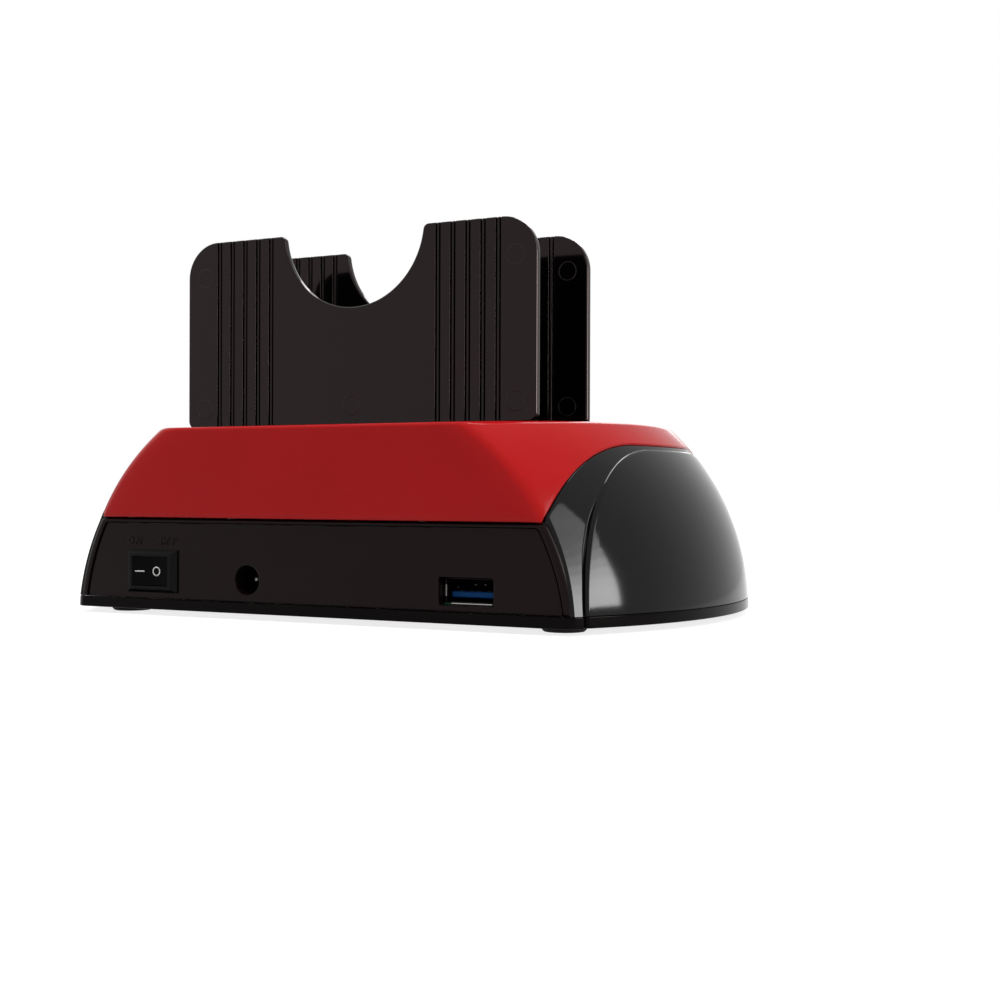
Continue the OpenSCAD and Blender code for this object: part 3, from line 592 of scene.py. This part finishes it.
def build_panel(name, sy, holes):
    """Panel with a rounded border, a fine groove inside it and a flat middle with holes."""
    s = Shape()
    profile = [(1.6, 51.9), (0.0, 52.6)]
    profile += [(1.5 * (1 - math.cos(a)), 53.0 + 1.3 * math.sin(a)) for a in arc(9)]
    profile += [(2.05, PANEL_Y), (2.15, 54.27), (2.21, 54.18), (2.23, 53.55), (2.30, 53.45),
                (2.50, 53.45), (2.57, 53.55), (2.59, 53.78), (2.65, 53.87),
                (2.75, PANEL_FLAT), (3.1, PANEL_FLAT)]
    steps = [(0.5, PANEL_FLAT), (0.16, PANEL_FLAT), (0.05, 53.85), (0.0, 53.7), (0.0, 51.6)]
    rings = s.skin([panel_loop(d, y, sy) for d, y in profile])
    inner = [rings[-1]]
    for outline in holes:
        hole = s.skin([[(x, sy * y, z) for x, z in outline(g)] for g, y in steps])
        inner.append(hole[0])
    s.fill(inner)
    return s.piece(name, panel_black)


def tray_plan(inset, z):
    """Outline of the tray at one height, with the crown grooves running down over the rim."""
    corner = 1.3
    ys = [RIM_Y - corner + corner * math.sin(a) for a in np.linspace(math.pi / 2, 0, 7)]
    back = [corner * (1 - math.cos(a)) for a in np.linspace(math.pi / 2, 0, 7)]
    steps = [(y, -b) for y, b in zip(ys, back)]
    g0 = CROWN_FLAT + CROWN_R
    g1 = g0 + GROOVE_W + 0.7
    steps += [(53.2, 0.0), (52.7, 0.0), (g1 + 0.2, 0.0), (g1 + 0.06, -0.06), (g1, -0.25),
              (g1 - 0.05, -GROOVE_D), (g0 + 0.05, -GROOVE_D), (g0, -0.5), (g0 - 0.1, -0.2),
              (g0 - 0.3, -0.04), (g0 - 0.6, 0.0)]
    steps += [(y, 0.0) for y in np.linspace(g0 - 1.2, 0.0, 30)]
    half = []
    for y, off in steps:
        out = flare(y, z) if y > g0 + 0.5 else 0.0
        half.append((float(end_x(y, z, out + off)), y))
    quarter_x = half[0][0]
    rear = [(x, RIM_Y) for x in np.linspace(0, quarter_x, 14)[:-1]]
    first = rear + half[:-1]
    side = first + [(x, -y) for x, y in reversed(half)][:-1]
    side += [(x, -y) for x, y in reversed(rear[1:])]
    ring = side + [(-x, -y) for x, y in side]
    pts = np.array(ring)
    if inset:
        ahead, behind = np.roll(pts, -1, 0), np.roll(pts, 1, 0)
        t = ahead - behind
        n = np.stack([-t[:, 1], t[:, 0]], -1)
        n /= np.linalg.norm(n, axis=1, keepdims=True)
        n *= np.sign((n * pts).sum(1, keepdims=True))
        pts = pts - n * inset
    return [(x, y, z) for x, y in pts]


def build_tray():
    """Tray rim with its bottom, the recesses of the feet and the holes of the case screws."""
    s = Shape()
    profile = [(0.35, RIM_Z0), (0.2, 1.52), (0.07, 1.6), (0.0, 1.8), (0.0, 3.85), (0.05, 3.99),
               (0.16, 4.07), (0.32, RIM_TOP)]
    rings = s.skin([tray_plan(d, z) for d, z in profile])
    inside = [(x * 0.955, y * 0.945) for x, y, z in tray_plan(0.0, 2.0)]
    inner = s.loop([(x, y, RIM_TOP) for x, y in inside])
    s.bridge(rings[-1], inner)
    low = s.loop([(x, y, 2.9) for x, y in inside])
    s.bridge(inner, low)
    bottom = [rings[0]]

    def recess(x0, y0, r, points, steps):
        ring = s.skin([[(x, y, z) for x, y in circle_loop(x0, y0, r, g, points)] for g, z in steps])
        bottom.append(ring[0])
        s.fill([ring[-1]])

    for sx in (-1, 1):
        for sy in (-1, 1):
            recess(sx * FOOT_X, sy * FOOT_Y, FOOT_R, 40, ((0.12, RIM_Z0), (0.0, 1.62), (0.0, 2.3)))
        for screw_x, screw_y in ((27.0, 46.1), (45.0, -40.55)):
            recess(sx * screw_x, screw_y, 2.8, 28, ((0.2, RIM_Z0), (0.0, 1.7), (0.0, 12.9)))
    s.fill(bottom)
    return s.piece("tray_shell", tray_black)


def raised(shape, outlines, face, back):
    """Flat mark with an outline and, if there are two, a hole; face and back give 3D points."""
    front = [shape.loop([face(p) for p in o]) for o in outlines]
    rear = [shape.loop([back(p) for p in o]) for o in outlines]
    for a, b in zip(front, rear):
        shape.bridge(a, b)
    shape.fill(front)


def build_words():
    """ON and OFF, moulded in the panel over the switch."""
    s = Shape()
    h, st, base, proud, under = 1.8, 0.3, 17.4, 0.16, 0.05

    def letter(kind, x0, w):
        if kind == "O":
            n = 36
            turn = [2 * math.pi * k / n for k in range(n)]
            outlines = [[(w / 2 + (w / 2 - d) * math.cos(t), h / 2 + (h / 2 - d) * math.sin(t))
                         for t in turn] for d in (0.0, st)]
        elif kind == "N":
            d = 2.2 * st
            outlines = [[(0, 0), (st, 0), (st, h - d), (w - st, 0), (w, 0), (w, h), (w - st, h),
                         (w - st, d), (st, h), (0, h)]]
        else:
            m = 0.43 * h
            outlines = [[(0, 0), (st, 0), (st, m), (0.8 * w, m), (0.8 * w, m + st), (st, m + st),
                         (st, h - st), (w, h - st), (w, h), (0, h)]]
        raised(s, outlines, lambda p: (x0 - p[0], PANEL_FLAT + proud, base + p[1]),
               lambda p: (x0 - p[0], PANEL_FLAT - under, base + p[1]))

    for kind, x0, w in (("O", 53.0, 1.95), ("N", 50.4, 1.75), ("O", 42.9, 1.75), ("F", 40.8, 1.35),
                        ("F", 39.0, 1.35)):
        letter(kind, x0, w)
    return s.piece("switch_words", panel_black)


def build_rocker_marks():
    """White bar and ring printed on the two faces of the rocker."""
    s = Shape()
    tilt = math.radians(ROCKER_TILT)
    face, proud, under = 1.5, 0.03, -0.02

    def on_face(side, lift):
        def spot(p):
            u, w = p
            lx = side * u * math.cos(tilt) - side * lift * math.sin(tilt)
            ly = face + u * math.sin(tilt) + lift * math.cos(tilt)
            x = lx * math.cos(tilt) - ly * math.sin(tilt)
            y = lx * math.sin(tilt) + ly * math.cos(tilt)
            return (SWITCH_X + x, SWITCH_Y + y, SWITCH_Z + w)
        return spot

    dash = [(1.85, -0.15), (4.25, -0.15), (4.25, 0.15), (1.85, 0.15)]
    raised(s, [dash], on_face(1, proud), on_face(1, under))
    turn = [2 * math.pi * k / 48 for k in range(48)]
    ring = [[(1.5 + r * math.cos(t), r * math.sin(t)) for t in turn] for r in (1.18, 0.86)]
    raised(s, ring, on_face(-1, proud), on_face(-1, under))
    return s.piece("rocker_marks", mark_white)


def plate_columns(inset):
    """X, lower Z, upper Z and groove depth of each upright row of points on a plate."""
    corner, lip, notch = 9.0 - inset, 1.5 - inset, 20.0 + inset
    # Middles of the notch, of its rounded lips and of the round corners
    mid, lip_z, lip_reach = 95.5, 92.7, 21.5
    corner_x, corner_z, foot_x, foot_z = 41.0, 85.2, 48.0, 48.6
    lip_x = math.sqrt(lip_reach ** 2 - (mid - lip_z) ** 2)
    tilt = math.atan2(lip_x, mid - lip_z)
    half = []
    for t in np.linspace(0.0, tilt, 27):
        half.append((notch * math.sin(t), mid - notch * math.cos(t), 0.0))
    for t in np.linspace(math.pi / 2 - tilt, math.pi / 2, 8)[1:]:
        half.append((lip_x - lip * math.cos(t), lip_z + lip * math.sin(t), 0.0))
    # Across each groove: offset from its middle and depth, with a bead along its floor
    side = [(-0.78, 0.0), (-0.74, 0.02), (-0.71, 0.08), (-0.68, 0.72), (-0.62, 0.8), (-0.42, 0.8),
            (-0.36, 0.72), (-0.31, 0.34)]
    bead = [(-0.30 * math.cos(t), 0.30 - 0.28 * math.sin(t))
            for t in np.linspace(0.12, math.pi - 0.12, 13)]
    for c in (24.0, 28.0, 32.0, 36.0, 40.0):
        for dx, g in side + bead + [(-dx, g) for dx, g in side[::-1]]:
            half.append((c + dx, PLATE_TOP - inset, g))
    for t in arc(19):
        half.append((corner_x + corner * math.sin(t), corner_z + corner * math.cos(t), 0.0))
    low = 2.0 - inset
    full = []
    for x, z, g in half:
        bottom = PLATE_FOOT + inset
        if x > foot_x:
            bottom = foot_z - math.sqrt(max(low ** 2 - (x - foot_x) ** 2, 0.0))
        full.append((x, bottom, z, g))
    return [(-x, a, b, g) for x, a, b, g in full[:0:-1]] + full


def build_plate(name, face):
    """Upright plate with grooves, round edges, moulding rings and three tabs."""
    s = Shape()
    rear_r, front_r, thick, rows = 0.5, 0.8, PLATE_THICK, 7
    cols = plate_columns(rear_r)
    grid = [s.loop([(x, face - g, a + (b - a) * i / (rows - 1)) for x, a, b, g in cols])
            for i in range(rows)]
    for low, high in zip(grid[:-1], grid[1:]):
        for j in range(len(cols) - 1):
            s.faces.append((low[j], low[j + 1], high[j + 1], high[j]))
    ring = grid[0] + [r[-1] for r in grid[1:-1]]
    ring += grid[-1][::-1] + [r[0] for r in grid[-2:0:-1]]
    pts = np.array([s.points[i] for i in ring])
    flat = pts[:, [0, 2]]
    ahead, behind = np.roll(flat, -1, 0) - flat, flat - np.roll(flat, 1, 0)
    ahead /= np.linalg.norm(ahead, axis=1, keepdims=True)
    behind /= np.linalg.norm(behind, axis=1, keepdims=True)
    way = ahead + behind
    way /= np.linalg.norm(way, axis=1, keepdims=True)
    out = np.stack([way[:, 1], 0 * way[:, 0], -way[:, 0]], -1)
    rounding = []
    for t in arc(5)[1:]:
        loop = pts + out * rear_r * math.sin(t)
        loop[:, 1] -= rear_r * (1 - math.cos(t))
        rounding.append(loop)
    for t in arc(7):
        loop = pts + out * (rear_r - front_r * (1 - math.cos(t)))
        loop[:, 1] = face - thick + front_r * (1 - math.sin(t))
        rounding.append(loop)
    last = ring
    for loop in rounding:
        now = s.loop(loop)
        s.bridge(last, now)
        last = now
    s.fill([last])
    mark = ((2.44, -0.01), (2.38, 0.045), (2.30, 0.06), (2.22, 0.045), (2.16, -0.01))
    for x, z in ((-44.5, 85.2), (44.5, 85.2), (-44.5, 51.6), (44.5, 51.6), (0.0, 51.6)):
        s.skin([[(px, face + h, pz) for px, pz in circle_loop(x, z, r, 0.0)] for r, h in mark])
    tab_w, tab_t, tab_r = 14.0, thick - 0.04, 0.3
    taper = ((-0.6, 37.5), (-0.25, 37.6), (-0.07, 37.85), (0.0, 38.2), (0.0, 47.0))
    for x in (-35.0, 0.0, 35.0):
        tab = s.skin([[(px, py, z)
                       for px, py in rect_loop(x, face - thick / 2, tab_w, tab_t, tab_r, g)]
                      for g, z in taper])
        s.fill([tab[0]])
    return s.piece(name, plate_black)


def bar(shape, x, z, w, h, r, y0, y1, soft):
    """Bar along Y with round corners and a round front edge."""
    steps = [(0.0, y0)]
    steps += [(-soft * (1 - math.cos(t)), y1 - soft + soft * math.sin(t)) for t in arc(5)]
    rings = shape.skin([[(px, y, pz) for px, pz in rect_loop(x, z, w, h, r, g)] for g, y in steps])
    shape.fill([rings[0]])
    shape.fill([rings[-1]])


def build_bars(name, mat, bars):
    """Piece of one or more bars."""
    s = Shape()
    for values in bars:
        bar(s, *values)
    return s.piece(name, mat)


def build_port_shell():
    """Folded metal shell of the data port with a rolled front edge and a flange under it."""
    s = Shape()
    back, front = 37.3, 51.05
    profile = [(0.0, back), (0.0, front), (-0.05, 51.2), (-0.2, 51.3), (-0.35, 51.2),
               (-0.4, front), (-0.4, back)]
    s.skin([[(x, y, z) for x, z in rect_loop(USB_X, USB_Z, 13.1, 5.7, 0.5, g)] for g, y in profile])
    bar(s, USB_X, 5.62, 13.4, 0.5, 0.1, 44.0, 51.0, 0.1)
    # The shell's near-black steel is painted shade
    return s.piece("usb_shell_folded", shell_painted_shade)


def build_inlet_pin():
    """Centre pin of the power inlet, with a domed tip."""
    s = Shape()
    r, tip, dome, length = 0.95, 50.5, 1.2, 6.0
    steps = [(r, tip - length)]
    steps += [(r * math.cos(t), tip - dome + dome * math.sin(t))
              for t in np.linspace(0, math.radians(86), 9)]
    rings = s.skin([[(px, y, pz) for px, pz in circle_loop(INLET_X, INLET_Z, rad, 0.0, 32)]
                    for rad, y in steps])
    s.fill([rings[0]])
    s.fill([rings[-1]])
    return s.piece("dc_pin_domed", pin_steel_painted_shade)


def hole(loop, *shape):
    """Outline of a hole, as a function of how much larger it is drawn."""
    *place, steps = shape
    return lambda grow: loop(*place, grow, steps)


def add_piece(piece, body, stands_for=None):
    """Ties a piece to its body, and hides the CAD node that it replaces."""
    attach(piece, body)
    if stands_for:
        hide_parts(stands_for)


# Pieces: size and place of each bar are x, z, width, height, radius, back, front and edge
rear_holes = (hole(rect_loop, USB_X, 8.6, 13.6, 6.2, 0.35, 5),
              hole(circle_loop, INLET_X, INLET_Z, 3.5, 40),
              hole(rect_loop, SWITCH_X, SWITCH_Z, 13.2, 8.8, 0.3, 5))
front_holes = (hole(rect_loop, 0.0, FRONT_Z, 12.5, 6.5, 1.75, 9),
               *(hole(circle_loop, x, FRONT_Z, 1.6, 28) for x in LAMP_XS))
tongue = [(USB_X, 7.75, 11.0, 1.35, 0.3, 41.0, 50.1, 0.3)]
contacts = [(USB_X + dx, 8.45, 1.0, 0.26, 0.08, 41.2, 49.3, 0.1) for dx in (-3.5, -1.0, 1.0, 3.5)]
# Lower lip of the port in the brighter steel: painted highlight
highlight_lips = [(-42.95, 5.82, 10.4, 0.46, 0.2, 50.6, 52.4, 0.2)]
springs = [(-35.9, 8.68, 0.6, 2.8, 0.2, 50.6, 51.5, 0.15)]
springs += [(x, z, 0.7, 0.4, 0.15, 45.0, 47.2, 0.2)
            for x, z in ((-36.5, 9.1), (-41.1, 9.8), (-43.6, 9.8))]
# Near-black block at the back of the port: painted shade
back_block = [(USB_X, USB_Z, 12.26, 4.86, 0.3, 37.3, 41.3, 0.2)]

add_piece(build_cover(), "dock", "top_cover")
for sign, name in ((1, "end_cap_right"), (-1, "end_cap_left")):
    add_piece(build_cap(sign, name + "_shell"), "dock", name)
add_piece(build_panel("rear_panel_shell", 1, rear_holes), "dock", "rear_panel")
add_piece(build_panel("front_panel_shell", -1, front_holes), "dock", "front_panel")
add_piece(build_tray(), "dock", "base_tray")
add_piece(build_plate("plate_rear_moulded", REAR_PLATE_Y), "rear_plate",
          "support_plate_rear")
add_piece(build_plate("plate_front_moulded", FRONT_PLATE_Y), "front_plate",
          "support_plate_front")
add_piece(build_port_shell(), "dock", "usb_shell")
add_piece(build_bars("usb_tongue", blue, tongue), "dock", "usb_insulator")
add_piece(build_bars("usb_contact_strips", contact_painted_shade, contacts), "dock",
          "usb_contacts")
add_piece(build_inlet_pin(), "dock", "dc_inlet_pin")
add_piece(build_bars("usb_shell_lips_painted_highlight", lip_steel_painted_highlight, highlight_lips), "dock")
add_piece(build_bars("usb_springs", pin_steel_painted_shade, springs), "dock")
add_piece(build_bars("usb_back_block", inlet_painted_shade_black, back_block), "dock")
add_piece(build_words(), "dock")
add_piece(build_rocker_marks(), "rocker")

for name, width in (("bay_frame", 0.4), ("switch_body", 0.25), ("switch_rocker", 0.3),
                    ("dc_inlet_body", 0.15), ("backup_button", 0.5), ("rubber_feet", 0.3)):
    soften(name, width)

# Camera, from the photograph

forward = Vector((0.4544, -0.8908, -0.0044)).normalized()
right = forward.cross(Vector((0, 0, 1))).normalized()
up = right.cross(forward)
roll = math.radians(0.21)
r2 = math.cos(roll) * right + math.sin(roll) * up
u2 = -math.sin(roll) * right + math.cos(roll) * up
cam_data = bpy.data.cameras.new("camera")
cam_data.sensor_width = 36.0
cam_data.lens = 52.613
cam_data.clip_start = 0.01
cam = bpy.data.objects.new("camera", cam_data)
bpy.context.scene.collection.objects.link(cam)
m = Matrix((r2, u2, -forward)).transposed().to_4x4()
m.translation = Vector((-0.19408, 0.33515, 0.03016))
cam.matrix_world = m
bpy.context.scene.camera = cam

# Floor, lights and background

def white_for_view(tree):
    """1 where the eye, a mirror or a clear piece looks straight at the background."""
    path = node(tree, "ShaderNodeLightPath")
    a = node(tree, "ShaderNodeMath", operation="ADD")
    b = node(tree, "ShaderNodeMath", operation="ADD", use_clamp=True)
    tree.links.new(path.outputs["Is Camera Ray"], a.inputs[0])
    tree.links.new(path.outputs["Is Glossy Ray"], a.inputs[1])
    tree.links.new(a.outputs[0], b.inputs[0])
    tree.links.new(path.outputs["Is Transmission Ray"], b.inputs[1])
    return b.outputs[0]


world = bpy.data.worlds.new("studio")
bpy.context.scene.world = world
world.use_nodes = True
wt = world.node_tree
wt.nodes.clear()
w_out = wt.nodes.new("ShaderNodeOutputWorld")
dim = node(wt, "ShaderNodeBackground", Strength=0.55)
lit = node(wt, "ShaderNodeBackground", Strength=1.0)
dim.inputs["Color"].default_value = (1, 1, 1, 1)
lit.inputs["Color"].default_value = (1, 1, 1, 1)
w_mix = wt.nodes.new("ShaderNodeMixShader")
wt.links.new(white_for_view(wt), w_mix.inputs[0])
wt.links.new(dim.outputs[0], w_mix.inputs[1])
wt.links.new(lit.outputs[0], w_mix.inputs[2])
wt.links.new(w_mix.outputs[0], w_out.inputs["Surface"])

floor_mesh = bpy.data.meshes.new("floor")
FLOOR_HALF = 3.0
floor_corners = [(x * FLOOR_HALF, y * FLOOR_HALF, 0)
                 for x, y in ((-1, -1), (1, -1), (1, 1), (-1, 1))]
floor_mesh.from_pydata(floor_corners, [], [(0, 1, 2, 3)])
floor = bpy.data.objects.new("floor", floor_mesh)
bpy.context.scene.collection.objects.link(floor)
f_mat, ft, f_bsdf = new_material("floor_white")
f_bsdf.inputs["Base Color"].default_value = (0.38, 0.38, 0.38, 1)
f_bsdf.inputs["Roughness"].default_value = 0.8
f_bsdf.inputs["Specular IOR Level"].default_value = 0.1
f_emit = node(ft, "ShaderNodeEmission", Strength=0.81)
f_sum = ft.nodes.new("ShaderNodeAddShader")
f_pick = ft.nodes.new("ShaderNodeMixShader")
ft.links.new(f_bsdf.outputs[0], f_sum.inputs[0])
ft.links.new(f_emit.outputs[0], f_sum.inputs[1])
ft.links.new(white_for_view(ft), f_pick.inputs[0])
ft.links.new(f_bsdf.outputs[0], f_pick.inputs[1])
ft.links.new(f_sum.outputs[0], f_pick.inputs[2])
ft.links.new(f_pick.outputs[0], ft.nodes["Material Output"].inputs["Surface"])
floor_mesh.materials.append(f_mat)


def softbox(name, place, target, width, height, power, fills=True, shines=True):
    """Soft rectangular lamp; it may light surfaces, show in their gloss, or both."""
    light = bpy.data.lights.new(name, "AREA")
    light.shape = "RECTANGLE"
    light.size, light.size_y = width, height
    light.energy = power
    o = bpy.data.objects.new(name, light)
    bpy.context.scene.collection.objects.link(o)
    o.location = place
    o.rotation_euler = (Vector(target) - Vector(place)).to_track_quat("-Z", "Y").to_euler()
    o.visible_diffuse, o.visible_glossy = fills, shines


def card(name, azimuth, elevation, radiance, distance=0.8, about=(-0.07, 0.045, 0.015)):
    """Glossy-only softbox that fills a range of directions, in degrees, seen from one end."""
    az, el = (math.radians(sum(v) / 2) for v in (azimuth, elevation))
    across, up_down = (math.radians(v[1] - v[0]) / 2 for v in (azimuth, elevation))
    width = 2 * distance * math.tan(across) * math.cos(el)
    height = 2 * distance * math.tan(up_down)
    way = Vector((math.cos(el) * math.cos(az), math.cos(el) * math.sin(az), math.sin(el)))
    place = Vector(about) + distance * way
    softbox(name, place, about, width, height, radiance * math.pi * width * height, fills=False)


softbox("top_fill", (0.0, 0.15, 0.9), (0, 0, 0.03), 0.9, 0.9, 7.0, shines=False)
softbox("side_fill", (-0.8, 0.1, 0.45), (0, 0, 0.04), 0.5, 0.6, 2.3, shines=False)
# The side light fades upward in steps of 3.5 degrees
for label, right_end, foot, radiances in (
        ("side_%d", 192.0, 3.0, (26.0, 26.0, 24.5, 21.0, 16.5, 12.0, 8.5, 6.5)),
        ("side_high_%d", 190.0, 31.0, (5.5, 5.0, 4.5, 4.0))):
    for k, radiance in enumerate(radiances):
        card(label % k, (166.0, right_end), (foot + 3.5 * k, foot + 3.5 + 3.5 * k), radiance)
# Only the rounded edge of the crown mirrors these
card("edge_low", (280.0, 292.0), (10.0, 26.0), 1.4)
card("edge_mid", (279.0, 292.0), (26.0, 46.0), 4.0)
card("edge_high", (272.0, 292.0), (46.0, 64.0), 9.0)
card("edge_top", (258.0, 302.0), (64.0, 80.0), 10.0)

bpy.context.scene.view_settings.view_transform = "Standard"
